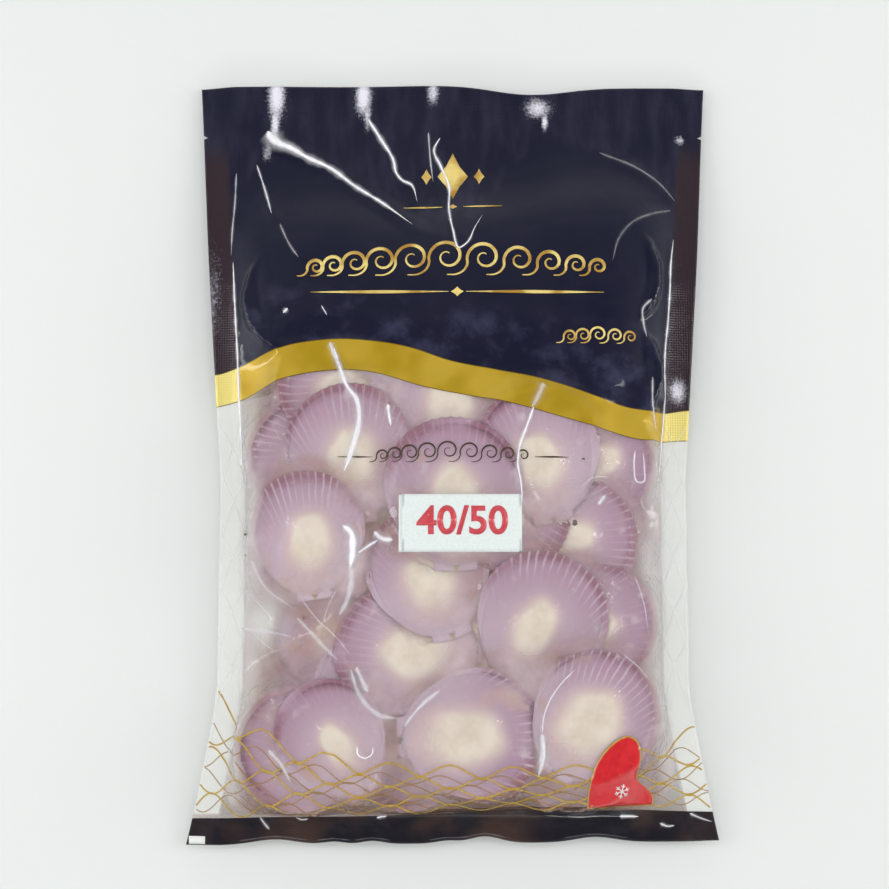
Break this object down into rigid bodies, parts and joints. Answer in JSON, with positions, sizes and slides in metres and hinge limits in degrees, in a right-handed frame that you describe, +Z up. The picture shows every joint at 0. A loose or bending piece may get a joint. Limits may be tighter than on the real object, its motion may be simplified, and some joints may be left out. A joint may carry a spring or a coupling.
{
  "type": "vacuum pack of frozen half-shell scallops",
  "caption": "Flat-lying vacuum pouch of frozen scallops in the half shell, with a printed head, clear window, sealed sides, tear notches and a small sticker.",
  "frame": {"origin": "on the ground, under the middle of the pouch's box", "axes": "+Z up out of the printed front, +Y towards the top edge of the pouch, +X to the right as the front is read"},
  "size_m": [0.252, 0.3709, 0.0388],
  "materials": {
    "film": "glossy laminated film, printed, clear over the scallops",
    "sticker": "semi-gloss white paper",
    "shell": "natural ribbed shell under a thin ice glaze",
    "meat": "frozen scallop meat, moist and soft edged"
  },
  "bodies": {
    "root": {"bag": "film", "label": "sticker"}
  },
  "joints": []
}
